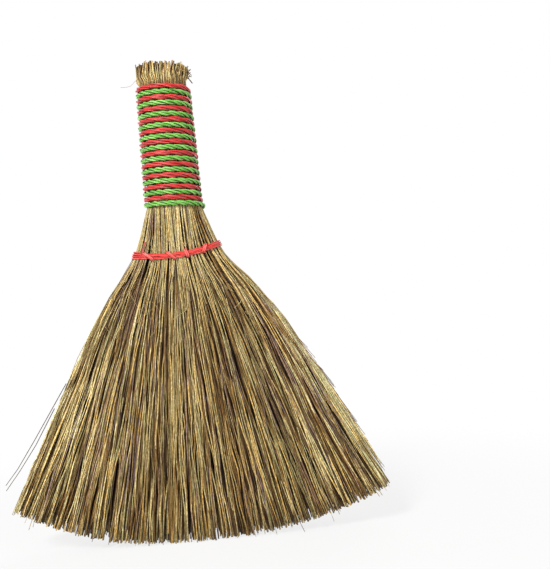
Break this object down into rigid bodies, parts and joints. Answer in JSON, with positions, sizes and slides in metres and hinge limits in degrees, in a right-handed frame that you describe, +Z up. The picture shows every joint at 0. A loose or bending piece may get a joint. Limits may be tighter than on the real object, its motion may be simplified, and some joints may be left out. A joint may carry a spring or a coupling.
{
  "type": "hand broom",
  "caption": "Fan-shaped hand broom of grass stalks, with a grip wound in red and green cord and a stitched waist.",
  "frame": {"origin": "middle of the lowest tips, where the broom stands on them", "axes": "+Z up along the broom to the butt end of the grip, +X along the width of the fan, -Y the face in the picture"},
  "size_m": [0.2362, 0.0388, 0.295],
  "materials": {
    "straw": "dry grass stalks, slightly glossy",
    "red_cord": "twisted plastic cord",
    "green_cord": "twisted plastic cord",
    "coral_cord": "thin twisted plastic cord"
  },
  "bodies": {
    "root": {"bundle_1_inner_stalks": "straw", "bundle_1_front_stalks": "straw", "bundle_1_back_stalks": "straw", "bundle_2_inner_stalks": "straw", "bundle_2_front_stalks": "straw", "bundle_2_back_stalks": "straw", "bundle_3_inner_stalks": "straw", "bundle_3_front_stalks": "straw", "bundle_3_back_stalks": "straw", "bundle_4_inner_stalks": "straw", "bundle_4_front_stalks": "straw", "bundle_4_back_stalks": "straw", "bundle_5_inner_stalks": "straw", "bundle_5_front_stalks": "straw", "bundle_5_back_stalks": "straw", "grip_cord_red": "red_cord", "grip_cord_green": "green_cord", "waist_cord": "coral_cord", "waist_stitch_cord": "coral_cord"}
  },
  "joints": []
}
